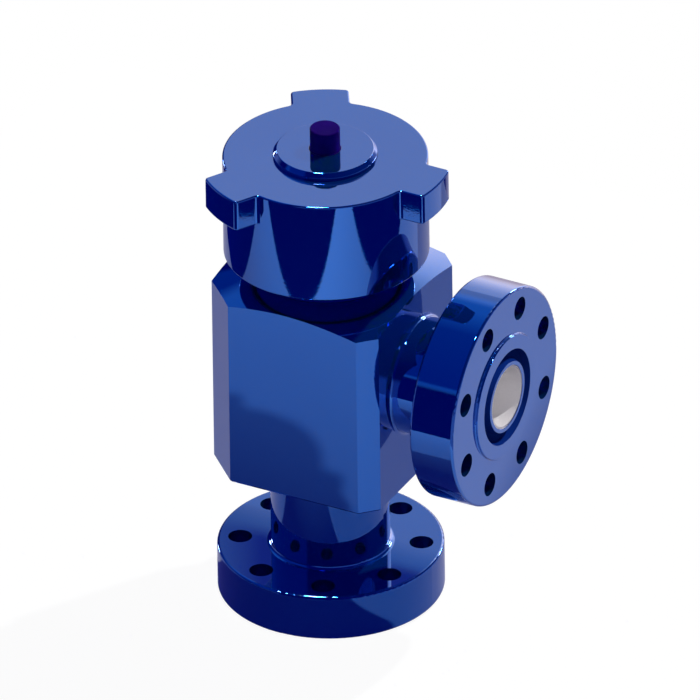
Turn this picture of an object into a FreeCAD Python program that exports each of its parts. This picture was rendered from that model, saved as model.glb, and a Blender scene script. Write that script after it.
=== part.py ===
import FreeCAD, Part
import math
import os

# Drilling choke valve, angle pattern: side inlet, bottom outlet, three-lug bonnet nut on top.
# Millimetres. Origin at the centre of the outlet's raised face, +Z along the stem, +X to the inlet.

Vector = FreeCAD.Vector
UP = Vector(0, 0, 1)
CENTRE = Vector(0, 0, 0)

# Clearances
FIT = 0.05
CLEAR = 0.3
PILOT_CLEAR = 0.25
STOP_GAP = 0.5
CUT_MARGIN = 2.0

# Flanges, 3 1/16 inch for 10 000 psi
FLANGE_D = 269.9
FLANGE_RIM = 58.0
RIM_ROUND = 3.0
RAISED_D = 154.0
RAISED_H = 3.4
RAISED_FILLET = 1.6
RAISED_ROUND = 0.8
BOLT_CIRCLE_D = 215.9
BOLT_HOLE_D = 28.6
BOLT_COUNT = 8
GROOVE_D = 119.0
GROOVE_W = 15.39
GROOVE_DEPTH = 7.54
GROOVE_WALL_DEG = 23.0
HUB_D = 142.1
HUB_FILLET = 5.0
BORE_MOUTH_CHAMFER = 0.8

# Forged body
INLET_H = 321.9
INLET_REACH = 239.8
BLOCK_X = 236.0
BLOCK_Y = 230.0
BLOCK_BOTTOM = 182.4
BLOCK_EDGE = 3.0
INLET_SIDE_CHAMFER = 20.0
FAR_SIDE_CHAMFER = 45.0
SHOULDER_ABOVE_INLET = 120.1
SHOULDER_H = INLET_H + SHOULDER_ABOVE_INLET
SHOULDER_SLOPE_DEG = 18.5
BODY_BORE_D = 77.8
CHAMBER_D = 124.0
CHAMBER_ROOF = 24.0
BONNET_BORE_D = 136.0
BONNET_BORE_CHAMFER = 2.5

# Dowels in the joint between neck and bonnet
DOWEL_D = 8.0
DOWEL_COUNT = 2
DOWEL_IN_BODY = 16.0
DOWEL_IN_BONNET = 10.0
DOWEL_FROM_BORE = 16.0
DOWEL_CIRCLE_D = BONNET_BORE_D + 2 * DOWEL_FROM_BORE

# Neck: a relief above the shoulder, then the thread, outside the dowels
NECK_LAND = 17.4
THREAD_DEPTH = 3.4
NECK_D = DOWEL_CIRCLE_D + 2 * (NECK_LAND + THREAD_DEPTH)
RELIEF_WALL = 20.0
RELIEF_D = BONNET_BORE_D + 2 * RELIEF_WALL
RELIEF_H = 27.4
NECK_FILLET = 5.0
NECK_H = 84.0
NECK_TOP = SHOULDER_H + NECK_H
NECK_TOP_CHAMFER = 2.0

# Wear sleeves
SLEEVE_WALL = 1.85
INLET_SLEEVE_RECESS = 1.0
SLEEVE_STOP = 6.0
SLEEVE_HEAD_H = 6.0
SLEEVE_SEAL_SECTION = 2.6
SLEEVE_SEAL_INSET = 22.0

# Seat and its retainer
SEAT_DROP = 13.0
SEAT_D = 90.0
SEAT_H = 38.0
SEAT_NOSE_D = 72.0
SEAT_NOSE_H = 8.0
ORIFICE_D = 50.8
ORIFICE_LAND = 14.0
SEAT_CHAMFER = 1.2
SEAT_SEAL_SECTION = 3.6
SEAT_SEAL_H = 10.0
RETAINER_D = 116.0
RETAINER_H = 20.0
RETAINER_MOUTH = 6.0
RETAINER_SLOT_COUNT = 4
RETAINER_SLOT_W = 12.0
RETAINER_SLOT_DEPTH = 6.0

# Bonnet
BONNET_FLANGE_LAND = 18.0
BONNET_FLANGE_D = DOWEL_CIRCLE_D + 2 * BONNET_FLANGE_LAND
BONNET_FLANGE_H = 30.0
BONNET_FLANGE_ROUND = 2.0
BOSS_D = 124.0
BOSS_BEVEL_W = 4.0
BOSS_BEVEL_H = 5.4
BOSS_EDGE_ROUND = 1.0
BOSS_FILLET = 2.0
BONNET_SEAL_DOWN = 36.0
BONNET_SEAL_SECTION = 5.2
BACKUP_RING_H = 3.4
PLUG_CHAMFER = 4.0
PLUG_GAP = 2.0
RECESS_D = 84.0

# Bonnet nut and the ring that holds it to the bonnet
NUT_WALL = 17.3
NUT_D = NECK_D + 2 * (CLEAR + NUT_WALL)
NUT_GRIP = 61.6
NUT_BOTTOM = NECK_TOP - NUT_GRIP
NUT_ROOF = 37.8
NUT_TOP = NECK_TOP + BONNET_FLANGE_H + NUT_ROOF
BOSS_PROUD = 9.4
BOSS_TOP = NUT_TOP + BOSS_PROUD
NUT_ROUND = 2.0
NUT_MOUTH_CHAMFER = 2.5
LUG_COUNT = 3
LUG_STAND = 29.6
LUG_REACH_D = NUT_D + 2 * LUG_STAND
LUG_W = 69.0
LUG_H = 39.5
LUG_ROOT_FILLET = 6.0
LUG_CORNER_ROUND = 5.0
LUG_EDGE_ROUND = 2.0
RING_H = 5.0
RING_BITE = 3.2
RING_GAP_DEG = 12.0
RING_UP = 16.0

# Stem, its guides and its packing
STEM_D = 38.0
STEM_END_D = 36.0
STEM_END_H = 28.0
STEM_END_CHAMFER = 1.0
STEM_STEP_UP = 0.6
WIPER_D = 48.0
WIPER_H = 7.0
WIPER_DOWN = 8.0
BUSHING_D = 46.0
BUSHING_H = 40.0
BUSHING_DOWN = 19.4
PACKING_D = 58.0
TOP_ADAPTER_H = 10.0
V_RING_COUNT = 3
V_RING_PITCH = 8.5
V_RING_T = 6.5
V_RING_RISE = 7.0
BOTTOM_ADAPTER_H = 14.0
GLAND_D = 66.0
GLAND_CHAMFER = 1.5
GLAND_SLOT_W = 8.0
GLAND_SLOT_DEPTH = 5.0
LOWER_BUSHING_H = 24.0

# Gate and its holder
GATE_TRAVEL = 45.0
GATE_D = 63.5
GATE_H = 52.0
GATE_NOSE_H = 18.0
GATE_NOSE_TIP_D = 44.0
HOLDER_H = 63.0
HOLDER_CHAMFER = 3.0
SPIGOT_D = 28.0
SPIGOT_H = 27.0
SPIGOT_INSET = 13.0
CROSS_PIN_D = 8.0
GATE_SCREW_D = 12.0
GATE_SCREW_GRIP = 18.0
SCREW_HEAD_D = 18.0
SCREW_HEAD_H = 8.0
SCREW_KEY_W = 10.0
SCREW_KEY_DEPTH = 5.0
SCREW_HEAD_POCKET = 10.0

# Heights worked out from the sizes above
rim_back = RAISED_H + FLANGE_RIM
seat_face = INLET_H - BODY_BORE_D / 2 - SEAT_DROP
seat_shoulder = seat_face - SEAT_NOSE_H
seat_foot = seat_face - SEAT_H
sleeve_head_foot = seat_foot - SLEEVE_HEAD_H
retainer_top = seat_shoulder + RETAINER_H
chamber_top = INLET_H + BODY_BORE_D / 2 + CHAMBER_ROOF
plug_foot = chamber_top + PLUG_GAP
bonnet_flange_top = NECK_TOP + BONNET_FLANGE_H
stem_top = BOSS_TOP + STEM_END_H
wiper_top = BOSS_TOP - WIPER_DOWN
bushing_top = BOSS_TOP - BUSHING_DOWN
packing_top = bushing_top - BUSHING_H
v_stack_top = packing_top - TOP_ADAPTER_H
v_stack_foot = v_stack_top - V_RING_COUNT * V_RING_PITCH
packing_foot = v_stack_foot - BOTTOM_ADAPTER_H
gate_top = seat_face + GATE_H
holder_top = gate_top + HOLDER_H
gland_foot = holder_top + GATE_TRAVEL + STOP_GAP
stem_foot = holder_top - SPIGOT_INSET
spigot_foot = stem_foot - SPIGOT_H
ring_middle = bonnet_flange_top + RING_UP
plug_seal_middle = NECK_TOP - BONNET_SEAL_DOWN
shoulder_rise = math.tan(math.radians(SHOULDER_SLOPE_DEG))


def rounded_corner(before, corner, after, radius):
    """The three points of the arc that rounds a corner between two straight runs."""
    back = (before - corner).normalize()
    on = (after - corner).normalize()
    half = back.getAngle(on) / 2
    start = corner + back * (radius / math.tan(half))
    end = corner + on * (radius / math.tan(half))
    middle = (back + on).normalize() * (radius / math.sin(half) - radius)
    return start, corner + middle, end


def closed_wire(corners):
    """A closed wire through (point, radius) corners, each rounded by its own radius."""
    edges = []
    ends = []
    count = len(corners)
    for i in range(count):
        point, radius = corners[i]
        if radius:
            before = corners[i - 1][0]
            after = corners[(i + 1) % count][0]
            start, crown, end = rounded_corner(before, point, after, radius)
            edges.append(Part.Arc(start, crown, end).toShape())
            ends.append((start, end))
        else:
            edges.append(None)
            ends.append((point, point))
    path = []
    for i in range(count):
        if edges[i]:
            path.append(edges[i])
        leave = ends[i][1]
        reach = ends[(i + 1) % count][0]
        if leave.distanceToPoint(reach) > 1e-6:
            path.append(Part.LineSegment(leave, reach).toShape())
    return Part.Wire(path)


def turned(profile):
    """A solid of revolution about Z from (radius, height) or (radius, height, round) corners."""
    corners = []
    for corner in profile:
        rounding = corner[2] if len(corner) > 2 else 0
        corners.append((Vector(corner[0], 0, corner[1]), rounding))
    return Part.Face(closed_wire(corners)).revolve(CENTRE, UP, 360)


def ring(inner, outer, foot, top):
    """A plain ring between two radii and two heights."""
    return turned([(inner, foot), (outer, foot), (outer, top), (inner, top)])


def seal_ring(inner, section, middle):
    """An elastomer ring pressed into its groove: a round section flattened on its four sides."""
    flat = section / 2 * math.tan(math.radians(22.5))
    half = section / 2
    centre = inner + half
    profile = [
        (centre - flat, middle - half),
        (centre + flat, middle - half),
        (centre + half, middle - flat),
        (centre + half, middle + flat),
        (centre + flat, middle + half),
        (centre - flat, middle + half),
        (centre - half, middle + flat),
        (centre - half, middle - flat),
    ]
    return turned(profile)


def disc(radius, foot, top):
    """A cylinder about Z between two heights."""
    return Part.makeCylinder(radius, top - foot, Vector(0, 0, foot))


def on_inlet(shape):
    """Moves a shape built from z = 0 upwards onto the inlet, with z = 0 at its raised face."""
    placed = shape.copy()
    placed.rotate(CENTRE, Vector(0, 1, 0), -90)
    placed.translate(Vector(INLET_REACH, 0, INLET_H))
    return placed


def around(shape, count, first_deg=0.0):
    """Copies of a shape, evenly spaced about Z."""
    copies = []
    for i in range(count):
        copy = shape.copy()
        copy.rotate(CENTRE, UP, first_deg + i * 360.0 / count)
        copies.append(copy)
    return copies


def flange_and_hub(length):
    """A flange from its raised face at z = 0, with the hub that ends in the block at length."""
    hub = HUB_D / 2
    flare = hub + 2 * HUB_FILLET
    root = length + BLOCK_EDGE + HUB_FILLET
    return turned(
        [
            (0, 0),
            (RAISED_D / 2, 0, RAISED_ROUND),
            (RAISED_D / 2, RAISED_H, RAISED_FILLET),
            (FLANGE_D / 2, RAISED_H, RIM_ROUND),
            (FLANGE_D / 2, rim_back, RIM_ROUND),
            (hub, rim_back, HUB_FILLET),
            (hub, length, HUB_FILLET),
            (flare, length),
            (flare, root),
            (0, root),
        ]
    )


def flange_cuts():
    """The ring groove and the bolt holes of one flange, from its raised face at z = 0."""
    outer = GROOVE_D / 2
    inner = outer - GROOVE_W
    lean = GROOVE_DEPTH * math.tan(math.radians(GROOVE_WALL_DEG))
    groove = turned(
        [
            (inner, -CUT_MARGIN),
            (outer, -CUT_MARGIN),
            (outer, 0),
            (outer - lean, GROOVE_DEPTH),
            (inner + lean, GROOVE_DEPTH),
            (inner, 0),
        ]
    )
    hole = disc(BOLT_HOLE_D / 2, 0, rim_back + CUT_MARGIN)
    hole.translate(Vector(BOLT_CIRCLE_D / 2, 0, 0))
    return [groove] + around(hole, BOLT_COUNT, 180.0 / BOLT_COUNT)


def block():
    """The square forging with chamfered upright corners and a turned, sloping top."""
    x, y = BLOCK_X / 2, BLOCK_Y / 2
    near, far = INLET_SIDE_CHAMFER, FAR_SIDE_CHAMFER
    outline = [
        (x, near - y),
        (x, y - near),
        (x - near, y),
        (far - x, y),
        (-x, y - far),
        (-x, far - y),
        (far - x, -y),
        (x - near, -y),
    ]
    corners = [(Vector(px, py, BLOCK_BOTTOM), 0) for px, py in outline]
    prism = Part.Face(closed_wire(corners)).extrude(UP * (SHOULDER_H - BLOCK_BOTTOM))
    low_edges = [e for e in prism.Edges if e.BoundBox.ZMax < BLOCK_BOTTOM + 1e-6]
    prism = prism.makeChamfer(BLOCK_EDGE, low_edges)
    relief = RELIEF_D / 2
    brim = math.hypot(x, y)
    envelope = turned(
        [
            (0, BLOCK_BOTTOM),
            (brim, BLOCK_BOTTOM),
            (brim, SHOULDER_H - shoulder_rise * (brim - relief)),
            (relief, SHOULDER_H),
            (0, SHOULDER_H),
        ]
    )
    return prism.common(envelope)


def threaded_neck():
    """The round neck: relieved above the shoulder, then as wide as the root of its thread."""
    relief = RELIEF_D / 2
    skirt = relief + 2 * NECK_FILLET
    thread_root = NECK_D / 2 - THREAD_DEPTH
    thread_foot = SHOULDER_H + RELIEF_H
    skirt_top = SHOULDER_H - shoulder_rise * 2 * NECK_FILLET
    below = skirt_top - HUB_FILLET
    return turned(
        [
            (0, below),
            (skirt, below),
            (skirt, skirt_top),
            (relief, SHOULDER_H, NECK_FILLET),
            (relief, thread_foot - (thread_root - relief)),
            (thread_root, thread_foot),
            (thread_root, NECK_TOP - NECK_TOP_CHAMFER),
            (thread_root - NECK_TOP_CHAMFER, NECK_TOP),
            (0, NECK_TOP),
        ]
    )


def upright_cavity():
    """The bore of the body from the outlet up through the seat pocket to the bonnet."""
    bore = BODY_BORE_D / 2
    bonnet_bore = BONNET_BORE_D / 2
    return turned(
        [
            (0, -CUT_MARGIN),
            (bore + BORE_MOUTH_CHAMFER, -CUT_MARGIN),
            (bore + BORE_MOUTH_CHAMFER, 0),
            (bore, BORE_MOUTH_CHAMFER),
            (bore, sleeve_head_foot),
            (SEAT_D / 2, sleeve_head_foot),
            (SEAT_D / 2, seat_shoulder),
            (RETAINER_D / 2, seat_shoulder),
            (RETAINER_D / 2, retainer_top),
            (CHAMBER_D / 2, retainer_top),
            (CHAMBER_D / 2, chamber_top),
            (bonnet_bore, chamber_top),
            (bonnet_bore, NECK_TOP - BONNET_BORE_CHAMFER),
            (bonnet_bore + BONNET_BORE_CHAMFER, NECK_TOP),
            (bonnet_bore + BONNET_BORE_CHAMFER, NECK_TOP + CUT_MARGIN),
            (0, NECK_TOP + CUT_MARGIN),
        ]
    )


def inlet_cavity():
    """The bore of the inlet from its raised face at z = 0 in to the chamber."""
    bore = BODY_BORE_D / 2
    stop = bore - SLEEVE_WALL - FIT
    stop_depth = INLET_REACH - CHAMBER_D / 2 - SLEEVE_STOP
    return turned(
        [
            (0, -CUT_MARGIN),
            (bore + BORE_MOUTH_CHAMFER, -CUT_MARGIN),
            (bore + BORE_MOUTH_CHAMFER, 0),
            (bore, BORE_MOUTH_CHAMFER),
            (bore, stop_depth),
            (stop, stop_depth),
            (stop, INLET_REACH),
            (0, INLET_REACH),
        ]
    )


def seal_groove(bore, section, middle):
    """A square groove in a bore for a seal of the given section."""
    half = section / 2 + FIT
    return ring(bore - CUT_MARGIN, bore + section + FIT, middle - half, middle + half)


def dowel_holes(depth_up, depth_down, clearance):
    """Cylinders for the dowels, about the joint between neck and bonnet."""
    radius = DOWEL_D / 2 + clearance
    hole = disc(radius, NECK_TOP - depth_down, NECK_TOP + depth_up)
    hole.translate(Vector(0, DOWEL_CIRCLE_D / 2, 0))
    return around(hole, DOWEL_COUNT)


def body():
    hub_length = INLET_REACH - BLOCK_X / 2
    blank = block().fuse(
        [
            threaded_neck(),
            flange_and_hub(BLOCK_BOTTOM),
            on_inlet(flange_and_hub(hub_length)),
        ]
    )
    bore = BODY_BORE_D / 2
    sleeve_groove = seal_groove(bore, SLEEVE_SEAL_SECTION, SLEEVE_SEAL_INSET)
    cuts = [upright_cavity(), on_inlet(inlet_cavity())]
    cuts += [sleeve_groove, on_inlet(sleeve_groove)]
    cuts.append(seal_groove(SEAT_D / 2, SEAT_SEAL_SECTION, seat_foot + SEAT_SEAL_H))
    cuts += flange_cuts()
    cuts += [on_inlet(cut) for cut in flange_cuts()]
    cuts += dowel_holes(CUT_MARGIN, DOWEL_IN_BODY + STOP_GAP, FIT)
    return blank.cut(cuts).removeSplitter()


def inlet_sleeve():
    outer = BODY_BORE_D / 2 - FIT
    far_end = INLET_REACH - CHAMBER_D / 2 - SLEEVE_STOP
    return on_inlet(ring(outer - SLEEVE_WALL, outer, INLET_SLEEVE_RECESS, far_end))


def outlet_sleeve():
    """A wear sleeve that hangs in the outlet from a head under the seat."""
    outer = BODY_BORE_D / 2 - FIT
    head = SEAT_D / 2 - FIT
    inner = outer - SLEEVE_WALL
    return turned(
        [
            (inner, 0),
            (outer, 0),
            (outer, sleeve_head_foot),
            (head, sleeve_head_foot),
            (head, seat_foot),
            (inner, seat_foot),
        ]
    )


def seat():
    """A carbide ring: a flat face around the orifice, and a throat that opens to the sleeve."""
    outer = SEAT_D / 2 - FIT
    nose = SEAT_NOSE_D / 2
    orifice = ORIFICE_D / 2
    throat = BODY_BORE_D / 2 - FIT - SLEEVE_WALL
    return turned(
        [
            (throat, seat_foot),
            (outer, seat_foot),
            (outer, seat_shoulder),
            (nose, seat_shoulder),
            (nose, seat_face - SEAT_CHAMFER),
            (nose - SEAT_CHAMFER, seat_face),
            (orifice, seat_face),
            (orifice, seat_face - ORIFICE_LAND),
        ]
    )


def seat_retainer():
    """A threaded ring that clamps the seat's shoulder, with four slots for its spanner."""
    inner = SEAT_NOSE_D / 2 + CLEAR
    outer = RETAINER_D / 2 - FIT
    blank = turned(
        [
            (inner, seat_shoulder),
            (outer, seat_shoulder),
            (outer, retainer_top),
            (inner + RETAINER_MOUTH, retainer_top),
            (inner, retainer_top - RETAINER_MOUTH),
        ]
    )
    slot = Part.makeBox(
        RETAINER_D,
        RETAINER_SLOT_W,
        RETAINER_SLOT_DEPTH + CUT_MARGIN,
        Vector(0, -RETAINER_SLOT_W / 2, retainer_top - RETAINER_SLOT_DEPTH),
    )
    return blank.cut(around(slot, RETAINER_SLOT_COUNT, 180.0 / RETAINER_SLOT_COUNT))


def bonnet():
    """The bonnet: boss, clamped flange and plug in one, bored for the stem from below."""
    flange = BONNET_FLANGE_D / 2
    boss = BOSS_D / 2
    plug = BONNET_BORE_D / 2 - PILOT_CLEAR
    seal_floor = plug - BONNET_SEAL_SECTION - FIT
    seal_half = BONNET_SEAL_SECTION / 2 + BACKUP_RING_H + 2 * FIT
    ring_floor = boss - RING_BITE - CLEAR
    ring_half = RING_H / 2 + FIT
    stem_hole = STEM_D / 2 + CLEAR
    blank = turned(
        [
            (RECESS_D / 2, plug_foot),
            (plug - PLUG_CHAMFER, plug_foot),
            (plug, plug_foot + PLUG_CHAMFER),
            (plug, plug_seal_middle - seal_half),
            (seal_floor, plug_seal_middle - seal_half),
            (seal_floor, plug_seal_middle + seal_half),
            (plug, plug_seal_middle + seal_half),
            (plug, NECK_TOP),
            (flange, NECK_TOP, BONNET_FLANGE_ROUND),
            (flange, bonnet_flange_top, BONNET_FLANGE_ROUND),
            (boss, bonnet_flange_top, BOSS_FILLET),
            (boss, ring_middle - ring_half),
            (ring_floor, ring_middle - ring_half),
            (ring_floor, ring_middle + ring_half),
            (boss, ring_middle + ring_half),
            (boss, BOSS_TOP - BOSS_BEVEL_H, BOSS_EDGE_ROUND),
            (boss - BOSS_BEVEL_W, BOSS_TOP, BOSS_EDGE_ROUND),
            (stem_hole, BOSS_TOP),
            (stem_hole, wiper_top + FIT),
            (WIPER_D / 2 + FIT, wiper_top + FIT),
            (WIPER_D / 2 + FIT, wiper_top - WIPER_H),
            (stem_hole, wiper_top - WIPER_H),
            (stem_hole, bushing_top),
            (BUSHING_D / 2 + FIT, bushing_top),
            (BUSHING_D / 2 + FIT, packing_top),
            (PACKING_D / 2 + FIT, packing_top),
            (PACKING_D / 2 + FIT, packing_foot),
            (GLAND_D / 2 + FIT, packing_foot),
            (GLAND_D / 2 + FIT, gland_foot),
            (RECESS_D / 2, gland_foot),
        ]
    )
    return blank.cut(dowel_holes(DOWEL_IN_BONNET + STOP_GAP, CUT_MARGIN, CLEAR))


def backup_rings():
    """Two square rings, one below and one above the bonnet's seal."""
    outer = BONNET_BORE_D / 2 - PILOT_CLEAR
    inner = outer - BONNET_SEAL_SECTION
    half = BONNET_SEAL_SECTION / 2 + FIT
    feet = (plug_seal_middle - half - BACKUP_RING_H, plug_seal_middle + half)
    return [ring(inner, outer, foot, foot + BACKUP_RING_H) for foot in feet]


def nut_retaining_ring():
    """A split ring, half in the boss's groove and half in the nut's."""
    middle = BOSS_D / 2
    whole = ring(
        middle - RING_BITE,
        middle + RING_BITE,
        ring_middle - RING_H / 2,
        ring_middle + RING_H / 2,
    )
    reach = middle + 2 * RING_BITE
    half_gap = math.radians(RING_GAP_DEG / 2)
    span = reach * math.tan(half_gap)
    wedge = [Vector(0, 0, 0), Vector(reach, -span, 0), Vector(reach, span, 0)]
    gap = Part.Face(Part.makePolygon(wedge + [wedge[0]])).extrude(UP * RING_H)
    gap.translate(UP * (ring_middle - RING_H / 2))
    return whole.cut(gap)


def lug_points(angle_deg):
    """The points where one lug's root fillets, sides and corner rounds meet, in order."""
    half = LUG_W / 2
    nut = NUT_D / 2
    reach = LUG_REACH_D / 2
    fillet, corner = LUG_ROOT_FILLET, LUG_CORNER_ROUND
    root = Vector(math.sqrt((nut + fillet) ** 2 - (half + fillet) ** 2), -(half + fillet), 0)
    tip = Vector(math.sqrt((reach - corner) ** 2 - (half - corner) ** 2), -(half - corner), 0)
    on_nut = root * (nut / (nut + fillet))
    on_side = Vector(root.x, -half, 0)
    root_crown = root + ((on_nut + on_side) * 0.5 - root).normalize() * fillet
    side_end = Vector(tip.x, -half, 0)
    on_reach = tip * (reach / (reach - corner))
    tip_crown = tip + ((side_end + on_reach) * 0.5 - tip).normalize() * corner
    right = [on_nut, root_crown, on_side, side_end, tip_crown, on_reach]
    left = [Vector(p.x, -p.y, 0) for p in reversed(right)]
    turn = FreeCAD.Rotation(UP, angle_deg)
    return [turn.multVec(p) for p in right + [Vector(reach, 0, 0)] + left]


def lug_outline():
    """The nut's plan: a circle with its lugs, every corner rounded."""
    lugs = [lug_points(i * 360.0 / LUG_COUNT) for i in range(LUG_COUNT)]
    mid_turn = FreeCAD.Rotation(UP, 180.0 / LUG_COUNT)
    edges = []
    for i in range(LUG_COUNT):
        p = lugs[i]
        edges.append(Part.Arc(p[0], p[1], p[2]).toShape())
        edges.append(Part.LineSegment(p[2], p[3]).toShape())
        edges.append(Part.Arc(p[3], p[4], p[5]).toShape())
        edges.append(Part.Arc(p[5], p[6], p[7]).toShape())
        edges.append(Part.Arc(p[7], p[8], p[9]).toShape())
        edges.append(Part.LineSegment(p[9], p[10]).toShape())
        edges.append(Part.Arc(p[10], p[11], p[12]).toShape())
        between = mid_turn.multVec(p[6]).normalize() * (NUT_D / 2)
        edges.append(Part.Arc(p[12], between, lugs[(i + 1) % LUG_COUNT][0]).toShape())
    return Part.Wire(edges)


def bonnet_nut():
    """A cap nut with three hammer lugs level with its top face."""
    plate = Part.Face(lug_outline()).extrude(UP * LUG_H)
    plate.translate(UP * (NUT_TOP - LUG_H))
    flat_edges = [e for e in plate.Edges if e.BoundBox.ZLength < 1e-6]
    plate = plate.makeFillet(LUG_EDGE_ROUND, flat_edges)
    outer = NUT_D / 2
    skirt = turned(
        [
            (0, NUT_BOTTOM),
            (outer, NUT_BOTTOM, NUT_ROUND),
            (outer, NUT_TOP - 2 * LUG_EDGE_ROUND),
            (0, NUT_TOP - 2 * LUG_EDGE_ROUND),
        ]
    )
    bore = NECK_D / 2 + CLEAR
    hole = BOSS_D / 2 + CLEAR
    ring_floor = BOSS_D / 2 + RING_BITE + CLEAR
    ring_half = RING_H / 2 + CLEAR
    inside = turned(
        [
            (0, NUT_BOTTOM - CUT_MARGIN),
            (bore + NUT_MOUTH_CHAMFER, NUT_BOTTOM - CUT_MARGIN),
            (bore + NUT_MOUTH_CHAMFER, NUT_BOTTOM),
            (bore, NUT_BOTTOM + NUT_MOUTH_CHAMFER),
            (bore, bonnet_flange_top),
            (hole + BOSS_FILLET, bonnet_flange_top),
            (hole, bonnet_flange_top + BOSS_FILLET),
            (hole, ring_middle - ring_half),
            (ring_floor, ring_middle - ring_half),
            (ring_floor, ring_middle + ring_half),
            (hole, ring_middle + ring_half),
            (hole, NUT_TOP + CUT_MARGIN),
            (0, NUT_TOP + CUT_MARGIN),
        ]
    )
    return plate.fuse(skirt).cut(inside).removeSplitter()


def stem():
    """The stem: plain coupling end, packed shank and the spigot that carries the holder."""
    shank = STEM_D / 2
    end = STEM_END_D / 2
    spigot = SPIGOT_D / 2
    step = BOSS_TOP + STEM_STEP_UP
    blank = turned(
        [
            (0, spigot_foot),
            (spigot - STEM_END_CHAMFER, spigot_foot),
            (spigot, spigot_foot + STEM_END_CHAMFER),
            (spigot, stem_foot),
            (shank, stem_foot),
            (shank, step),
            (end, step),
            (end, stem_top - STEM_END_CHAMFER),
            (end - STEM_END_CHAMFER, stem_top),
            (0, stem_top),
        ]
    )
    return blank.cut(cross_pin_blank(CROSS_PIN_D / 2 + FIT, GATE_D))


def stem_wiper():
    """A lipped scraper ring in the groove near the top of the bonnet."""
    lip = STEM_D / 2 + FIT
    outer = WIPER_D / 2
    web = (lip + outer) / 2
    foot = wiper_top - WIPER_H
    return turned(
        [
            (web, foot),
            (outer, foot),
            (outer, wiper_top),
            (web, wiper_top),
            (lip, wiper_top),
            (lip, wiper_top - WIPER_H / 4),
        ]
    )


def guide_bushing():
    return ring(STEM_D / 2 + FIT, BUSHING_D / 2, packing_top, bushing_top)


def chevron(foot, top):
    """A packing ring whose section is a V that opens downwards, between two heights."""
    inner = STEM_D / 2 + FIT
    outer = PACKING_D / 2
    middle = (inner + outer) / 2
    return turned(
        [
            (inner, foot),
            (middle, foot + V_RING_RISE),
            (outer, foot),
            (outer, top),
            (middle, top + V_RING_RISE),
            (inner, top),
        ]
    )


def v_rings():
    """The chevron packing rings, from the bottom up."""
    feet = [v_stack_foot + i * V_RING_PITCH - V_RING_RISE for i in range(V_RING_COUNT)]
    return [chevron(foot, foot + V_RING_T) for foot in feet]


def packing_top_adapter():
    """The female ring above the chevrons, with a V groove in its lower face."""
    inner = STEM_D / 2 + CLEAR
    outer = PACKING_D / 2
    middle = (STEM_D / 2 + FIT + outer) / 2
    foot = v_stack_foot + V_RING_COUNT * V_RING_PITCH - V_RING_RISE
    return turned(
        [
            (inner, foot),
            (middle, foot + V_RING_RISE),
            (outer, foot),
            (outer, packing_top),
            (inner, packing_top),
        ]
    )


def packing_bottom_adapter():
    """The male ring below the chevrons, with a pointed upper face."""
    inner = STEM_D / 2 + CLEAR
    outer = PACKING_D / 2
    middle = (STEM_D / 2 + FIT + outer) / 2
    crest = v_stack_foot - (V_RING_PITCH - V_RING_T)
    return turned(
        [
            (inner, packing_foot),
            (outer, packing_foot),
            (outer, crest - V_RING_RISE),
            (middle, crest),
            (inner, crest - V_RING_RISE),
        ]
    )


def packing_gland():
    """A long threaded gland that loads the packing and stops the gate when fully open."""
    outer = GLAND_D / 2
    pocket = BUSHING_D / 2 + FIT
    inner = STEM_D / 2 + CLEAR
    bushing_foot = gland_foot + GLAND_SLOT_DEPTH
    blank = turned(
        [
            (pocket, gland_foot),
            (outer - GLAND_CHAMFER, gland_foot),
            (outer, gland_foot + GLAND_CHAMFER),
            (outer, packing_foot),
            (inner, packing_foot),
            (inner, bushing_foot + LOWER_BUSHING_H),
            (pocket, bushing_foot + LOWER_BUSHING_H),
        ]
    )
    slot = Part.makeBox(
        GLAND_D + CUT_MARGIN,
        GLAND_SLOT_W,
        GLAND_SLOT_DEPTH,
        Vector(-(GLAND_D + CUT_MARGIN) / 2, -GLAND_SLOT_W / 2, gland_foot),
    )
    return blank.cut(slot)


def lower_guide_bushing():
    foot = gland_foot + GLAND_SLOT_DEPTH
    return ring(STEM_D / 2 + FIT, BUSHING_D / 2, foot, foot + LOWER_BUSHING_H)


def cross_pin_blank(radius, length):
    """A cylinder across the holder and the spigot, along Y."""
    middle = (stem_foot + spigot_foot) / 2
    return Part.makeCylinder(radius, length, Vector(0, -length / 2, middle), Vector(0, 1, 0))


def gate_holder():
    """The steel holder between the stem's spigot and the carbide gate."""
    outer = GATE_D / 2
    socket = SPIGOT_D / 2 + FIT
    collar = STEM_D / 2 + FIT
    screw = GATE_SCREW_D / 2 + FIT
    blank = turned(
        [
            (screw, gate_top),
            (outer, gate_top),
            (outer, holder_top - HOLDER_CHAMFER),
            (outer - HOLDER_CHAMFER, holder_top),
            (collar, holder_top),
            (collar, stem_foot),
            (socket, stem_foot),
            (socket, spigot_foot - FIT),
            (screw, spigot_foot - FIT),
        ]
    )
    return blank.cut(cross_pin_blank(CROSS_PIN_D / 2 + FIT, GATE_D))


def holder_pin():
    return cross_pin_blank(CROSS_PIN_D / 2, GATE_D - 2 * HOLDER_CHAMFER)


def gate():
    """The carbide gate: a flat sealing shoulder and a tapered nose that throttles the seat."""
    outer = GATE_D / 2
    nose = ORIFICE_D / 2 - CLEAR
    tip = GATE_NOSE_TIP_D / 2
    hole = GATE_SCREW_D / 2 + CLEAR
    pocket = SCREW_HEAD_D / 2 + CLEAR
    nose_foot = seat_face - GATE_NOSE_H
    return turned(
        [
            (pocket, nose_foot),
            (tip, nose_foot),
            (nose, seat_face - GATE_NOSE_H / 3),
            (nose, seat_face),
            (outer, seat_face),
            (outer, gate_top),
            (hole, gate_top),
            (hole, nose_foot + SCREW_HEAD_POCKET),
            (pocket, nose_foot + SCREW_HEAD_POCKET),
        ]
    )


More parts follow.
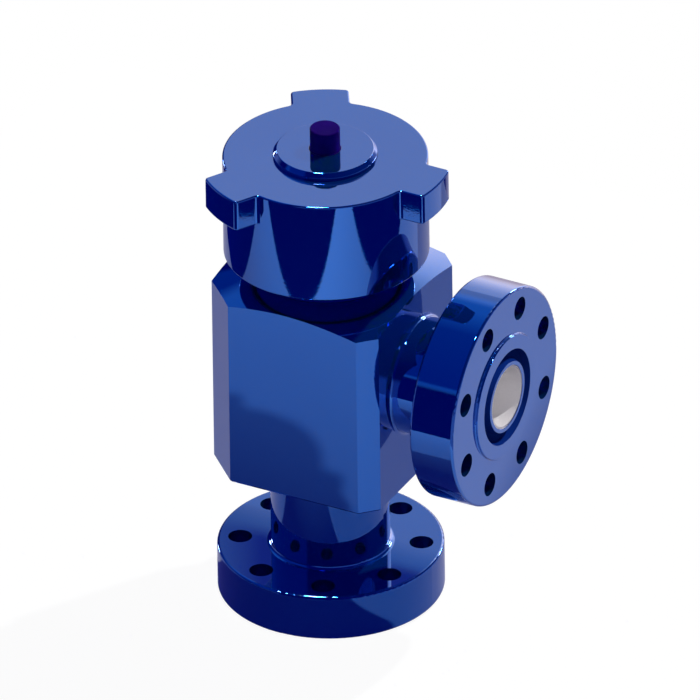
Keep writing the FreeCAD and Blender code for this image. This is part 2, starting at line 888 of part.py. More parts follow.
def gate_screw():
    """The socket-head screw that draws the gate up to its holder."""
    seat_of_head = seat_face - GATE_NOSE_H + SCREW_HEAD_POCKET
    head_foot = seat_of_head - SCREW_HEAD_H
    blank = turned(
        [
            (0, head_foot),
            (SCREW_HEAD_D / 2, head_foot),
            (SCREW_HEAD_D / 2, seat_of_head),
            (GATE_SCREW_D / 2, seat_of_head),
            (GATE_SCREW_D / 2, gate_top + GATE_SCREW_GRIP),
            (0, gate_top + GATE_SCREW_GRIP),
        ]
    )
    corner = Vector(SCREW_KEY_W / math.sqrt(3), 0, head_foot)
    hexagon = []
    for i in range(7):
        hexagon.append(FreeCAD.Rotation(UP, 60.0 * i).multVec(corner))
    key = Part.Face(Part.makePolygon(hexagon)).extrude(UP * SCREW_KEY_DEPTH)
    return blank.cut(key)


def dowels():
    """The dowel pins that keep the bonnet from turning."""
    return dowel_holes(DOWEL_IN_BONNET, DOWEL_IN_BODY, 0)


def sleeve_seal():
    outer = BODY_BORE_D / 2
    return seal_ring(outer, SLEEVE_SEAL_SECTION, SLEEVE_SEAL_INSET)


def all_parts():
    """Every node's name and shape."""
    bonnet_seal_inner = BONNET_BORE_D / 2 - PILOT_CLEAR - BONNET_SEAL_SECTION
    parts = {
        "body": body(),
        "inlet_sleeve": inlet_sleeve(),
        "inlet_sleeve_seal": on_inlet(sleeve_seal()),
        "outlet_sleeve": outlet_sleeve(),
        "outlet_sleeve_seal": sleeve_seal(),
        "seat": seat(),
        "seat_seal": seal_ring(SEAT_D / 2, SEAT_SEAL_SECTION, seat_foot + SEAT_SEAL_H),
        "seat_retainer": seat_retainer(),
        "bonnet": bonnet(),
        "bonnet_seal": seal_ring(bonnet_seal_inner, BONNET_SEAL_SECTION, plug_seal_middle),
        "nut_retaining_ring": nut_retaining_ring(),
        "bonnet_nut": bonnet_nut(),
        "stem_wiper": stem_wiper(),
        "guide_bushing": guide_bushing(),
        "packing_top_adapter": packing_top_adapter(),
        "packing_bottom_adapter": packing_bottom_adapter(),
        "packing_gland": packing_gland(),
        "lower_guide_bushing": lower_guide_bushing(),
        "stem": stem(),
        "gate_holder": gate_holder(),
        "holder_pin": holder_pin(),
        "gate": gate(),
        "gate_screw": gate_screw(),
    }
    repeated = {
        "bonnet_dowel_": dowels(),
        "bonnet_backup_ring_": backup_rings(),
        "packing_v_ring_": v_rings(),
    }
    for name, copies in repeated.items():
        for i in range(len(copies)):
            parts[name + str(i + 1)] = copies[i]
    return parts


os.makedirs("parts", exist_ok=True)
for name, shape in all_parts().items():
    shape.exportStep(os.path.join("parts", name + ".step"))
    print(name, len(shape.Solids), shape.isValid(), round(shape.Volume / 1000.0, 1))
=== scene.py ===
import math

import bmesh
import bpy
from mathutils import Matrix, Vector


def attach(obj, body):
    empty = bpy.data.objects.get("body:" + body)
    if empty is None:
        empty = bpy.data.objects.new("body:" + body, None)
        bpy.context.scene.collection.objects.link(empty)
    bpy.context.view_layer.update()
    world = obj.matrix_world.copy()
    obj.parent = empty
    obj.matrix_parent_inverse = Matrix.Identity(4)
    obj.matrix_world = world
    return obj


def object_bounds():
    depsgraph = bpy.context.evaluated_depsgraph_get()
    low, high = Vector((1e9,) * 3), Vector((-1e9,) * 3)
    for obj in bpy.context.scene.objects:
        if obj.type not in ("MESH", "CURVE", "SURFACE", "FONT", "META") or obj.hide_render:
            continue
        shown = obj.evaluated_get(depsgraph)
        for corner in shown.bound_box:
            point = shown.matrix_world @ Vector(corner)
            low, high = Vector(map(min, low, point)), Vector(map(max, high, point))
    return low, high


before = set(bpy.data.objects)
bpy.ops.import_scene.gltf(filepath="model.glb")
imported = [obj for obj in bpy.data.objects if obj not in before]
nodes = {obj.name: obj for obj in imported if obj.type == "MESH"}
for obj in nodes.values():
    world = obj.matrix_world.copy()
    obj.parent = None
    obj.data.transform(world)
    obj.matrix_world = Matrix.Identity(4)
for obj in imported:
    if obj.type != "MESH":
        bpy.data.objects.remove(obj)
cad_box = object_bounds()

# Camera: an orthographic view, fitted to the outlines of both flanges, the nut and the block
VIEW_AZIMUTH = 27.865
VIEW_ELEVATION = 31.022
VIEW_ROLL = -0.834
PIXELS_PER_M = 842.7
IMAGE_SIDE = 700.0
CAMERA_DISTANCE = 2.4
CAMERA_REACH = 20.0
# The pixel that shows the point of the outlet's axis at this height
AXIS_POINT_H = 0.0034
AXIS_POINT_AT = (331.406, 580.998)

# The floor: finite and pale, with a glow in front and to the right that only mirror reflections meet
FLOOR_X = (-0.826, 0.910)
FLOOR_Y = (-0.873, 0.950)
FLOOR_GAP = 0.0002
FLOOR_COLOUR = (0.50, 0.50, 0.50, 1)
FLOOR_WHITE = 1.13
FLOOR_WHITE_SHARE = 0.85
# Blue light painted on the floor for mirror reflections only, under the front and right glows
FLOOR_BLUE_GLOW = (0.0, 0.002, 0.12, 1)
FRONT_GLOW = 0.35
FRONT_GLOW_Y = (-0.87, -0.22)
RIGHT_GLOW = 0.27
RIGHT_GLOW_X = (0.29, 0.335)
RIGHT_GLOW_SLANT = 0.25

# A shaded card behind the valve, which dims the far side where the bottom flange mirrors it
CARD_X = (-0.75, -0.12)
CARD_Y = 0.60
CARD_Z = (0.37, 0.66)
CARD_LOW = (0.64, 0.75, 0.87, 1)
CARD_MIDDLE = (0.30, 0.48, 0.70, 1)
CARD_HIGH = (0.06, 0.10, 0.43, 1)
CARD_MIDDLE_Z = (0.445, 0.470)
CARD_HIGH_Z = (0.473, 0.492)
CARD_HIGH_X = (-0.47, -0.41)
CARD_HIGH_LEFT_SHARE = 0.35

# Lamps: the sun from behind on the right, a beam into the inlet, and small ones for the highlights
SUN_FROM = (0.326, 0.551, 0.768)
SUN_ANGLE = math.radians(1.5)
SUN_STRENGTH = 2.0
BORE_LAMP_FROM = (0.50, -0.70, 0.50)
BORE_LAMP_AWAY = 1.0
BORE_LAMP_WATTS = 21.0
BORE_LAMP_R = 0.05
BORE_LAMP_BLEND = 0.25
LAMP_CORE_SHARE = 0.8
LAMPS = (
    {"toward": (-0.062, -0.047, 0.997), "half_angle": 6.0, "strength": 110.0},
    {"toward": (0.25, 0.925, 0.285), "half_angle": 6.0, "strength": 22.0},
    {"toward": (-0.91, 0.40, 0.10), "half_angle": 5.0, "strength": 16.0},
)

# The surroundings that the enamel mirrors
NEVER_ZERO = 0.001
WHITE = (1, 1, 1, 1)
AMBIENT_COLOUR = (0.06, 0.055, 0.12, 1)
DARK_COLOUR = (0.0, 0.002, 0.15, 1)
WALL_COLOUR = (1.06, 0.88, 0.75, 1)
BAND_COLOUR = (0.34, 0.32, 0.38, 1)
CEILING_COLOUR = (0.0, 0.05, 0.17, 1)
COVE_COLOUR = (0.08, 0.24, 0.30, 1)
# Their ramps over the mirrored direction: start, end, value up to the start, value from the end on
WALL_SIDES = (0.79, 0.86, 0.0, 1.0)
WALL_CENTRE = (0.87, 0.98, 1.0, 1.55)
WALL_HEIGHT = (0.15, 0.45, 1.15, 0.91)
WALL_TOP = (0.45, 0.87, 1.0, 0.05)
WALL_FOOT = (-0.25, 0.05, 0.35, 1.0)
WALL_RIGHT_END = (0.10, 0.25, 1.0, 0.0)
BAND_FOOT = (-0.46, -0.38, 0.0, 1.0)
BAND_TOP = (0.10, 0.25, 1.0, 0.0)
BAND_ON_RIGHT = (-0.15, 0.05, 0.0, 1.0)
BAND_FLANK_FRONT = (-0.5, -0.2, 0.0, 1.0)
BAND_FLANK_BACK = (0.2, 0.5, 1.0, 0.0)
CEILING_RIGHT_END = (-0.33, -0.25, 1.0, 0.0)
CEILING_FAR_END = (0.62, 0.70, 1.0, 0.0)
CEILING_FOOT = (0.36, 0.40, 0.0, 1.0)
COVE_FOOT = (0.53, 0.62, 0.0, 1.0)
COVE_NEAR_END = (-0.05, 0.40, 0.0, 1.0)
LINE_FOOT = (0.34, 0.37, 0.0, 0.8)
LINE_TOP = (0.41, 0.44, 1.0, 0.0)
LINE_FAR_END = (-0.5, -0.3, 1.0, 0.0)

# Sizes of the valve that materials and the thread need, in metres
BORE_R = 0.0392
CAVITY_R = 0.0706
CAVITY_FOOT = 0.19
INLET_AXIS_H = 0.3219
INLET_FACE_X = cad_box[1].x
GROOVE_OUTER_R = 0.0595
GROOVE_INNER_R = 0.0441
GROOVE_DEPTH = 0.0075
BONNET_BORE_R = 0.0195
BOSS_FOOT_H = 0.5562
SHOULDER_TOP_H = 0.4420
NUT_FOOT_H = 0.4644
NUT_ROOF_H = 0.5575
# How far a material's mask stays off an edge, or reaches past the surfaces that it covers
MASK_GAP = 0.0004
GROOVE_GAP = 0.0003
GROOVE_MARGIN = 0.0005
NUT_THREAD_MARGIN = 0.0009
NECK_MARGIN = 0.0021

# The neck's thread: three turns to the inch, with a trapezoid section that fades in and out
THREAD_ROOT_R = 0.1014
THREAD_CREST_R = 0.1047
THREAD_SUNK = 0.0004
THREAD_PITCH = 0.0254 / 3
THREAD_FOOT = 0.4726
THREAD_TOP = 0.5225
THREAD_HALF_ROOT = 0.0030
THREAD_HALF_CREST = 0.0011
THREAD_STEPS_PER_TURN = 96
THREAD_FADE_STEPS = 24

# Patterns of the materials: parts of a noise's range, and stretches of a noise along the three axes
MIDDLE_RANGE = (0.35, 0.65)
WIDER_RANGE = (0.3, 0.7)
WEAVE_RANGE = (0.4, 0.7)
TURNED_RINGS = (1.0, 1.0, 40.0)
TOOL_MARKS = (1.0, 1.0, 60.0)
HONE_ONE_WAY = (8.0, 60.0, 30.0)
HONE_OTHER_WAY = (30.0, 8.0, 60.0)
WARP = (30.0, 1.0, 30.0)
WEFT = (1.0, 30.0, 1.0)

# Colours of the materials: a dark and a light end, between which a pattern blends
ENAMEL = ((0.003, 0.130, 0.540, 1), (0.004, 0.155, 0.600, 1))
PRIMER = ((0.003, 0.022, 0.660, 1), (0.004, 0.030, 0.740, 1))
# Primer painted darker as shade in the ring grooves
GROOVE_SHADE_PRIMER = ((0.003, 0.024, 0.205, 1), (0.004, 0.030, 0.240, 1))
MACHINED_WALL = ((0.30, 0.30, 0.31, 1), (0.42, 0.41, 0.40, 1))
HONED_SLEEVE = ((0.90, 0.87, 0.86, 1), (0.97, 0.94, 0.93, 1))
NITRIDED_STEM = ((0.016, 0.002, 0.170, 1), (0.024, 0.003, 0.220, 1))
GROUND_CARBIDE = ((0.20, 0.20, 0.22, 1), (0.34, 0.34, 0.36, 1))
TURNED_STEEL = ((0.28, 0.28, 0.29, 1), (0.46, 0.45, 0.44, 1))
TURNED_BRONZE = ((0.38, 0.22, 0.07, 1), (0.60, 0.40, 0.16, 1))
CUT_THREAD = ((0.24, 0.24, 0.25, 1), (0.40, 0.39, 0.38, 1))
NITRILE = ((0.012, 0.012, 0.013, 1), (0.030, 0.030, 0.032, 1))
FLUOROPLASTIC = ((0.55, 0.52, 0.45, 1), (0.72, 0.70, 0.64, 1))
PACKING_WEAVE = ((0.03, 0.02, 0.015, 1), (0.12, 0.09, 0.06, 1))


class Graph:
    """The node tree of a material or a world, with short calls that add one node each."""

    def __init__(self, owner):
        owner.use_nodes = True
        self.nodes = owner.node_tree.nodes
        self.links = owner.node_tree.links
        self.nodes.clear()

    def plug(self, socket, value):
        """Links the socket to another node's output, or sets it to a constant."""
        if isinstance(value, bpy.types.NodeSocket):
            self.links.new(value, socket)
        else:
            socket.default_value = value

    def put(self, node, **values):
        """Plugs sockets by their names, with underscores for the spaces in them."""
        for name, value in values.items():
            self.plug(node.inputs[name.replace("_", " ")], value)

    def add(self, kind, **values):
        node = self.nodes.new("ShaderNode" + kind)
        self.put(node, **values)
        return node

    def maths(self, operation, a, b=0.0):
        node = self.add("Math")
        node.operation = operation
        self.plug(node.inputs[0], a)
        self.plug(node.inputs[1], b)
        return node.outputs[0]

    def product(self, first, *others):
        for other in others:
            first = self.maths("MULTIPLY", first, other)
        return first

    def highest(self, first, *others):
        for other in others:
            first = self.maths("MAXIMUM", first, other)
        return first

    def below(self, value, limit):
        return self.maths("LESS_THAN", value, limit)

    def over(self, value, limit):
        return self.maths("GREATER_THAN", value, limit)

    def radius(self, a, b):
        squares = self.maths("ADD", self.product(a, a), self.product(b, b))
        return self.maths("SQRT", squares)

    def span(self, value, start, end, before=0.0, after=1.0, smooth=False):
        """A ramp over value, from start to end."""
        node = self.add("MapRange", Value=value, From_Min=start, From_Max=end, To_Min=before, To_Max=after)
        if smooth:
            node.interpolation_type = "SMOOTHSTEP"
        return node.outputs[0]

    def mix(self, share, a, b, kind="FLOAT", blend_type="MIX"):
        """Number a, turning to number b as share goes from 0 to 1."""
        node = self.add("Mix")
        node.data_type = kind
        node.blend_type = blend_type
        self.put(node, Factor=share, A=a, B=b)
        return node.outputs["Result"]

    def blend(self, share, a, b):
        """Colour a, turning to colour b as share goes from 0 to 1."""
        return self.mix(share, a, b, "RGBA")

    def tinted(self, colour, grey):
        """A constant colour with a varying grey added."""
        return self.mix(1.0, colour, grey, "RGBA", "ADD")

    def either(self, share, a, b):
        """Shader a where share is 0 and shader b where it is 1."""
        node = self.add("MixShader")
        for socket, value in zip(node.inputs, (share, a, b)):
            self.plug(socket, value)
        return node.outputs[0]

    def both(self, a, b):
        """Two shaders added together."""
        node = self.add("AddShader")
        self.plug(node.inputs[0], a)
        self.plug(node.inputs[1], b)
        return node.outputs[0]


class Surface(Graph):
    """A new material whose patterns lie in the object's own frame."""

    def __init__(self, name):
        self.material = bpy.data.materials.new(name)
        super().__init__(self.material)
        self.shader = self.add("BsdfPrincipled")
        self.out = self.add("OutputMaterial", Surface=self.shader.outputs["BSDF"])
        self.place = self.add("TexCoord").outputs["Object"]

    def axes(self):
        split = self.add("SeparateXYZ", Vector=self.place)
        return split.outputs["X"], split.outputs["Y"], split.outputs["Z"]

    def stretched(self, scale):
        return self.add("Mapping", Vector=self.place, Scale=scale).outputs[0]

    def noise(self, scale, detail, place=None):
        return self.add("TexNoise", Vector=place or self.place, Scale=scale, Detail=detail).outputs["Fac"]

    def bump(self, height, strength, distance):
        node = self.add("Bump", Height=height, Strength=strength, Distance=distance)
        self.put(self.shader, Normal=node.outputs[0])


def ring_groove(g, across, depth):
    """1 in a ring groove: across is the distance from its axis, depth that below its face."""
    return g.product(
        g.over(across, GROOVE_INNER_R - GROOVE_MARGIN),
        g.below(across, GROOVE_OUTER_R + GROOVE_MARGIN),
        g.over(depth, GROOVE_GAP),
        g.below(depth, GROOVE_DEPTH + GROOVE_MARGIN),
    )


def bare_parts_of_body(g):
    """1 on the machined, unpainted walls of the body: bores, seat pocket, chamber and thread."""
    x, y, z = g.axes()
    upright = g.radius(x, y)
    across = g.radius(y, g.maths("SUBTRACT", z, INLET_AXIS_H))
    bore = g.below(upright, BORE_R)
    cavity = g.product(g.below(upright, CAVITY_R), g.over(z, CAVITY_FOOT))
    inlet = g.product(g.below(across, BORE_R), g.over(x, 0.0))
    thread = g.over(z, THREAD_FOOT - THREAD_HALF_ROOT)
    return g.highest(bore, cavity, inlet, thread)


def dull_parts_of_body(g):
    """1 on the relieved neck between the shoulder and the nut, which only primer reaches."""
    x, y, z = g.axes()
    above_shoulder = g.over(z, SHOULDER_TOP_H + MASK_GAP)
    return g.product(above_shoulder, g.below(g.radius(x, y), THREAD_CREST_R + NECK_MARGIN))


def groove_shade_parts_of_body(g):
    """1 in both ring grooves, where the primer is painted darker as shade in the recess."""
    x, y, z = g.axes()
    from_inlet = g.radius(y, g.maths("SUBTRACT", z, INLET_AXIS_H))
    inlet_groove = ring_groove(g, from_inlet, g.maths("SUBTRACT", INLET_FACE_X, x))
    outlet_groove = ring_groove(g, g.radius(x, y), z)
    return g.highest(inlet_groove, outlet_groove)


def bare_parts_of_nut(g):
    """1 inside the nut: on its thread and on the walls below its roof."""
    x, y, z = g.axes()
    thread = g.below(g.radius(x, y), THREAD_CREST_R + NUT_THREAD_MARGIN)
    return g.product(thread, g.below(z, NUT_ROOF_H))


def dull_parts_of_nut(g):
    """1 on the nut's underside."""
    return g.below(g.axes()[2], NUT_FOOT_H + MASK_GAP)


def bare_parts_of_bonnet(g):
    """1 in the bonnet's bore and on everything below its boss, which alone is painted."""
    x, y, z = g.axes()
    return g.highest(g.below(g.radius(x, y), BONNET_BORE_R), g.below(z, BOSS_FOOT_H))


def nowhere(g):
    return 0.0


def paint(name, bare_parts, dull_parts=nowhere, groove_shade_parts=nowhere):
    """Glossy blue enamel with orange peel; dull primer and machined steel where the masks give 1, with the
    primer painted darker as shade in the ring grooves.
    """
    g = Surface(name)
    bare = bare_parts(g)
    # The ring grooves, whose primer is painted darker as shade
    groove_shade = groove_shade_parts(g)
    dull = g.highest(dull_parts(g), groove_shade)
    cloud = g.noise(scale=7.0, detail=3.0)
    primer = g.blend(groove_shade, g.blend(cloud, *PRIMER), g.blend(cloud, *GROOVE_SHADE_PRIMER))
    painted = g.blend(dull, g.blend(cloud, *ENAMEL), primer)
    machined = g.blend(g.noise(scale=60.0, detail=4.0), *MACHINED_WALL)
    enamel_roughness = g.span(g.noise(scale=18.0, detail=4.0), *WIDER_RANGE, 0.02, 0.04)
    primer_roughness = 0.6
    machined_roughness = 0.34
    enamel_metallic = 0.86
    g.put(
        g.shader,
        Base_Color=g.blend(bare, painted, machined),
        Metallic=g.mix(bare, g.mix(dull, enamel_metallic, 0.0), 1.0),
        Roughness=g.mix(bare, g.mix(dull, enamel_roughness, primer_roughness), machined_roughness),
        Coat_Weight=g.mix(g.highest(bare, dull), 1.0, 0.0),
        Coat_Roughness=0.02,
        Coat_IOR=1.5,
        Specular_IOR_Level=0.0,
    )
    orange_peel = g.noise(scale=420.0, detail=1.0)
    tool_marks = g.noise(scale=26.0, detail=3.0, place=g.stretched(TOOL_MARKS))
    g.bump(g.mix(bare, orange_peel, tool_marks), strength=0.02, distance=0.0006)
    return g.material


def metal(name, colours, roughness, grain=50.0):
    """A turned metal: fine rings of tool marks along Z, and a slow change of tone."""
    g = Surface(name)
    rings = g.noise(scale=grain, detail=3.0, place=g.stretched(TURNED_RINGS))
    cloud = g.noise(scale=40.0, detail=4.0)
    tone = g.mix(0.4, rings, cloud)
    g.put(
        g.shader,
        Base_Color=g.blend(g.span(tone, *MIDDLE_RANGE), *colours),
        Metallic=1.0,
        Roughness=g.span(rings, *WIDER_RANGE, roughness * 0.8, roughness * 1.25),
    )
    g.bump(rings, strength=0.15, distance=0.0002)
    return g.material


def honed_sleeve(name):
    """The honed wear sleeve: pale, slightly warm, with fine cross-hatched hone marks."""
    g = Surface(name)
    one_way = g.noise(scale=30.0, detail=3.0, place=g.stretched(HONE_ONE_WAY))
    other_way = g.noise(scale=30.0, detail=3.0, place=g.stretched(HONE_OTHER_WAY))
    hone = g.mix(0.5, one_way, other_way)
    g.put(
        g.shader,
        Base_Color=g.blend(g.span(hone, *MIDDLE_RANGE), *HONED_SLEEVE),
        Metallic=0.1,
        Roughness=g.span(hone, *MIDDLE_RANGE, 0.32, 0.46),
    )
    g.bump(hone, strength=0.12, distance=0.0002)
    return g.material


def nitrided_stem(name):
    """The dull dark purple of the nitrided stem, with faint turning marks."""
    g = Surface(name)
    rings = g.noise(scale=80.0, detail=3.0, place=g.stretched(TURNED_RINGS))
    cloud = g.noise(scale=55.0, detail=4.0)
    g.put(
        g.shader,
        Base_Color=g.blend(g.span(cloud, *MIDDLE_RANGE), *NITRIDED_STEM),
        Roughness=g.span(rings, *WIDER_RANGE, 0.42, 0.55),
        Specular_IOR_Level=0.02,
    )
    g.bump(rings, strength=0.08, distance=0.0002)
    return g.material


def rubber(name, colours):
    """Moulded rubber or plastic, with a fine grain."""
    g = Surface(name)
    grain = g.noise(scale=900.0, detail=3.0)
    g.put(
        g.shader,
        Base_Color=g.blend(grain, *colours),
        Roughness=g.span(g.noise(scale=80.0, detail=3.0), *WIDER_RANGE, 0.45, 0.65),
    )
    g.bump(grain, strength=0.2, distance=0.0002)
    return g.material


def woven_packing(name):
    """Fabric-filled packing: a fine weave of threads in dark rubber."""
    g = Surface(name)
    warp = g.noise(scale=80.0, detail=2.0, place=g.stretched(WARP))
    weft = g.noise(scale=80.0, detail=2.0, place=g.stretched(WEFT))
    weave = g.highest(warp, weft)
    g.put(
        g.shader,
        Base_Color=g.blend(g.span(weave, *WEAVE_RANGE), *PACKING_WEAVE),
        Roughness=0.7,
    )
    g.bump(weave, strength=0.4, distance=0.0003)
    return g.material


def give(material, *names):
    for name in names:
        slots = nodes[name].data.materials
        slots.clear()
        slots.append(material)


def dress_nodes():
    """Puts a finished material on every node of the frame."""
    give(paint("body_enamel", bare_parts_of_body, dull_parts_of_body, groove_shade_parts_of_body), "body")
    give(paint("nut_enamel", bare_parts_of_nut, dull_parts_of_nut), "bonnet_nut")
    give(paint("bonnet_enamel", bare_parts_of_bonnet), "bonnet")
    give(honed_sleeve("honed_sleeve"), "inlet_sleeve", "outlet_sleeve")
    give(metal("ground_carbide", GROUND_CARBIDE, roughness=0.22, grain=60.0), "seat", "gate")
    give(nitrided_stem("dark_stem"), "stem")
    steel = metal("turned_steel", TURNED_STEEL, roughness=0.34)
    give(steel, "seat_retainer", "nut_retaining_ring", "bonnet_dowel_1", "bonnet_dowel_2")
    give(steel, "packing_top_adapter", "packing_bottom_adapter", "packing_gland")
    give(steel, "gate_holder", "holder_pin", "gate_screw")
    bronze = metal("turned_bronze", TURNED_BRONZE, roughness=0.32)
    give(bronze, "guide_bushing", "lower_guide_bushing")
    nitrile = rubber("nitrile", NITRILE)
    give(nitrile, "inlet_sleeve_seal", "outlet_sleeve_seal", "seat_seal", "bonnet_seal", "stem_wiper")
    give(rubber("filled_fluoroplastic", FLUOROPLASTIC), "bonnet_backup_ring_1", "bonnet_backup_ring_2")
    packing = woven_packing("woven_packing")
    give(packing, "packing_v_ring_1", "packing_v_ring_2", "packing_v_ring_3")


def place_in_scene(name, data):
    piece = bpy.data.objects.new(name, data)
    bpy.context.scene.collection.objects.link(piece)
    return piece


def thread_section(angle, height, fade):
    """The four corners of the thread's ridge at one place on its helix."""
    root = THREAD_ROOT_R - THREAD_SUNK
    crest = THREAD_ROOT_R + (THREAD_CREST_R - THREAD_ROOT_R) * fade
    corners = (
        (root, -THREAD_HALF_ROOT),
        (crest, -THREAD_HALF_CREST),
        (crest, THREAD_HALF_CREST),
        (root, THREAD_HALF_ROOT),
    )
    return [(reach * math.cos(angle), reach * math.sin(angle), height + up) for reach, up in corners]


def neck_thread():
    """The ridge of the neck's thread: one trapezoid section swept up a helix, fading at its ends."""
    turns = (THREAD_TOP - THREAD_FOOT) / THREAD_PITCH
    steps = int(turns * THREAD_STEPS_PER_TURN)
    mesh = bmesh.new()
    rows = []
    for i in range(steps + 1):
        turned = i / THREAD_STEPS_PER_TURN
        fade = min(1.0, i / THREAD_FADE_STEPS, (steps - i) / THREAD_FADE_STEPS)
        section = thread_section(2 * math.pi * turned, THREAD_FOOT + THREAD_PITCH * turned, fade)
        rows.append([mesh.verts.new(corner) for corner in section])
    for low, high in zip(rows, rows[1:]):
        for k in range(4):
            after = (k + 1) % 4
            mesh.faces.new((low[k], low[after], high[after], high[k]))
    mesh.faces.new(list(reversed(rows[0])))
    mesh.faces.new(rows[-1])
    bmesh.ops.recalc_face_normals(mesh, faces=mesh.faces)
    data = bpy.data.meshes.new("neck_thread")
    mesh.to_mesh(data)
    mesh.free()
    piece = place_in_scene("neck_thread", data)
    data.materials.append(metal("cut_thread", CUT_THREAD, roughness=0.3))
    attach(piece, "valve_body")


def plane(name, corners):
    mesh = bpy.data.meshes.new(name)
    mesh.from_pydata(corners, [], [(0, 1, 2, 3)])
    return place_in_scene(name, mesh)


def floor():
    """The pale floor: it keeps the valve's shadow, and it can't be seen from below. For mirror reflections
    it also glows: painted light, blue all over and brighter in front and to the right.
    """
    (left, right), (front, back) = FLOOR_X, FLOOR_Y
    z = cad_box[0].z - FLOOR_GAP
    piece = plane("floor", [(left, front, z), (right, front, z), (right, back, z), (left, back, z)])
    g = Surface("pale_floor")
    g.put(g.shader, Base_Color=FLOOR_COLOUR, Roughness=0.9, Specular_IOR_Level=0.0)
    path = g.add("LightPath").outputs
    white = g.add("Emission", Color=WHITE, Strength=FLOOR_WHITE).outputs[0]
    to_camera = g.product(path["Is Camera Ray"], FLOOR_WHITE_SHARE)
    seen = g.either(to_camera, g.shader.outputs["BSDF"], white)
    x, y, _ = g.axes()
    in_front = g.span(y, *FRONT_GLOW_Y, FRONT_GLOW, 0.0)
    slant = g.maths("SUBTRACT", x, g.product(y, RIGHT_GLOW_SLANT))
    on_right = g.span(slant, *RIGHT_GLOW_X, 0.0, RIGHT_GLOW)
    glow = g.add(
        "Emission",
        Color=g.tinted(FLOOR_BLUE_GLOW, g.maths("ADD", in_front, on_right)),
        Strength=path["Is Glossy Ray"],
    )
    from_below = g.add("NewGeometry").outputs["Backfacing"]
    clear = g.add("BsdfTransparent").outputs[0]
    g.put(g.out, Surface=g.either(from_below, g.both(seen, glow.outputs[0]), clear))
    piece.data.materials.append(g.material)


def card():
    """A blue-tinted, see-through card behind the valve that only mirror reflections meet: painted shade on
    what the bottom flange mirrors.
    """
    (left, right), (low, high) = CARD_X, CARD_Z
    y = CARD_Y
    piece = plane("shade_card", [(left, y, low), (right, y, low), (right, y, high), (left, y, high)])
    piece.visible_camera = False
    piece.visible_diffuse = False
    piece.visible_shadow = False
    g = Surface("shade_card")
    x, _, z = g.axes()
    middle = g.blend(g.span(z, *CARD_MIDDLE_Z), CARD_LOW, CARD_MIDDLE)
    inward = g.span(x, *CARD_HIGH_X, CARD_HIGH_LEFT_SHARE, 1.0)
    upward = g.product(g.span(z, *CARD_HIGH_Z), inward)
    veil = g.add("BsdfTransparent", Color=g.blend(upward, middle, CARD_HIGH))
    g.put(g.out, Surface=veil.outputs[0])
    piece.data.materials.append(g.material)


def shine(name, lamp, toward):
    """Puts a lamp in the scene that shines back along toward and isn't mirrored as a shape."""
    piece = place_in_scene(name, lamp)
    piece.rotation_mode = "QUATERNION"
    piece.rotation_quaternion = toward.to_track_quat("Z", "Y")
    piece.visible_glossy = False
    return piece


def sun():
    """The one strong light, which throws the valve's shadow to the front left."""
    lamp = bpy.data.lights.new("sun", "SUN")
    lamp.energy = SUN_STRENGTH
    lamp.angle = SUN_ANGLE
    shine("sun", lamp, Vector(SUN_FROM))


def bore_lamp():
    """A narrow soft beam into the inlet, so that the honed sleeve reads as pale metal."""
    lamp = bpy.data.lights.new("bore_lamp", "SPOT")
    lamp.energy = BORE_LAMP_WATTS
    lamp.shadow_soft_size = BORE_LAMP_R
    lamp.spot_size = 2 * math.atan(BORE_R / BORE_LAMP_AWAY)
    lamp.spot_blend = BORE_LAMP_BLEND
    toward = Vector(BORE_LAMP_FROM).normalized()
    piece = shine("bore_lamp", lamp, toward)
    piece.location = Vector((INLET_FACE_X, 0, INLET_AXIS_H)) + toward * BORE_LAMP_AWAY


def mirrored_panels(g, direction):
    """The parts of the surroundings besides the dark: pairs of a colour and its strength."""
    x, y, z = g.add("SeparateXYZ", Vector=direction).outputs
    level = g.maths("ADD", g.radius(x, y), NEVER_ZERO)
    rightward = g.maths("DIVIDE", x, level)
    backward = g.maths("DIVIDE", y, level)

    sides = g.product(g.span(backward, *WALL_SIDES, smooth=True), g.span(backward, *WALL_CENTRE))
    upward = g.product(g.span(z, *WALL_HEIGHT), g.span(z, *WALL_TOP), g.span(z, *WALL_FOOT))
    wall = g.product(sides, upward, g.span(rightward, *WALL_RIGHT_END))

    flank = g.product(g.span(backward, *BAND_FLANK_FRONT), g.span(backward, *BAND_FLANK_BACK))
    around = g.highest(g.span(rightward, *BAND_ON_RIGHT), flank)
    band = g.product(g.span(z, *BAND_FOOT), g.span(z, *BAND_TOP), around)

    on_left = g.product(g.span(x, *CEILING_RIGHT_END), g.span(y, *CEILING_FAR_END))
    ceiling = g.product(on_left, g.span(z, *CEILING_FOOT))
    slope = g.product(g.span(z, *COVE_FOOT), g.span(y, *COVE_NEAR_END))
    line = g.product(g.span(z, *LINE_FOOT), g.span(z, *LINE_TOP), g.span(y, *LINE_FAR_END))
    cove = g.product(on_left, g.highest(slope, line))

    panels = [(WALL_COLOUR, wall), (BAND_COLOUR, band), (CEILING_COLOUR, ceiling), (COVE_COLOUR, cove)]
    for lamp in LAMPS:
        facing = g.add("VectorMath")
        facing.operation = "DOT_PRODUCT"
        g.plug(facing.inputs[0], direction)
        g.plug(facing.inputs[1], Vector(lamp["toward"]).normalized())
        edge = math.cos(math.radians(lamp["half_angle"]))
        core = math.cos(math.radians(lamp["half_angle"] * LAMP_CORE_SHARE))
        spot = g.span(facing.outputs["Value"], edge, core, 0.0, lamp["strength"], smooth=True)
        panels.append((WHITE, spot))
    return panels


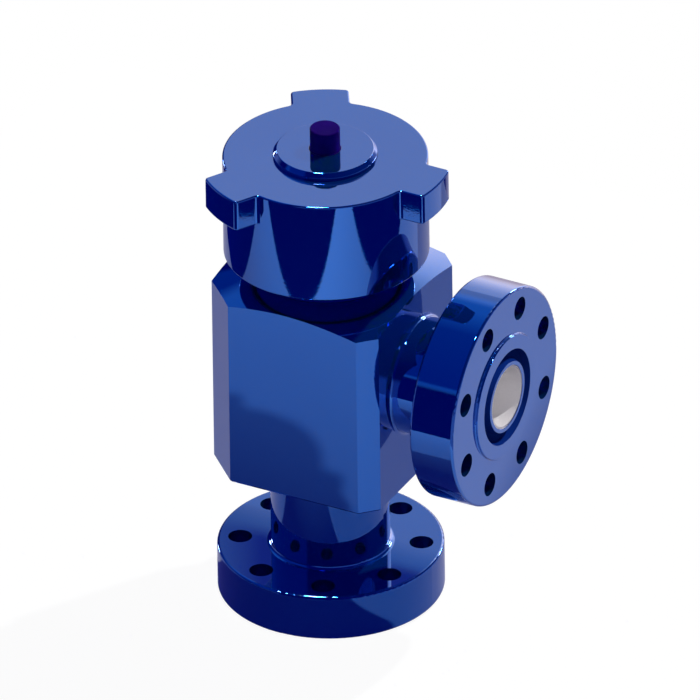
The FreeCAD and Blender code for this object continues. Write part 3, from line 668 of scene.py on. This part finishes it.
def surroundings():
    """White to the camera; for the object a bright far side, a dim ceiling and a dark near side."""
    world = bpy.data.worlds.new("studio")
    bpy.context.scene.world = world
    g = Graph(world)
    direction = g.add("TexCoord").outputs["Generated"]
    mirrored = g.add("Background", Color=DARK_COLOUR).outputs[0]
    for colour, strength in mirrored_panels(g, direction):
        panel = g.add("Background", Color=colour, Strength=strength)
        mirrored = g.both(mirrored, panel.outputs[0])
    ambient = g.add("Background", Color=AMBIENT_COLOUR).outputs[0]
    white = g.add("Background", Color=WHITE).outputs[0]
    path = g.add("LightPath").outputs
    lighting = g.either(path["Is Glossy Ray"], ambient, mirrored)
    g.add("OutputWorld", Surface=g.either(path["Is Camera Ray"], lighting, white))


def camera():
    """Looks along the photo's view, with its tilt, its scale and its framing."""
    azimuth, elevation, roll = map(math.radians, (VIEW_AZIMUTH, VIEW_ELEVATION, VIEW_ROLL))
    level = Vector((math.cos(azimuth), math.sin(azimuth), 0))
    forward = Vector((-math.sin(azimuth), math.cos(azimuth), 0))
    back = Vector((0, 0, 1)) * math.sin(elevation) - forward * math.cos(elevation)
    upright = back.cross(level)
    right = level * math.cos(roll) + upright * math.sin(roll)
    up = upright * math.cos(roll) - level * math.sin(roll)
    lens = bpy.data.cameras.new("camera")
    lens.type = "ORTHO"
    lens.ortho_scale = IMAGE_SIDE / PIXELS_PER_M
    lens.clip_end = CAMERA_REACH
    piece = place_in_scene("camera", lens)
    aside = (IMAGE_SIDE / 2 - AXIS_POINT_AT[0]) / PIXELS_PER_M
    above = (AXIS_POINT_AT[1] - IMAGE_SIDE / 2) / PIXELS_PER_M
    middle = Vector((0, 0, AXIS_POINT_H)) + right * aside + up * above
    turn = Matrix((right, up, back)).transposed().to_4x4()
    piece.matrix_world = Matrix.Translation(middle + back * CAMERA_DISTANCE) @ turn
    bpy.context.scene.camera = piece


dress_nodes()
neck_thread()
floor()
card()
sun()
bore_lamp()
surroundings()
camera()
bpy.context.scene.view_settings.view_transform = "Standard"
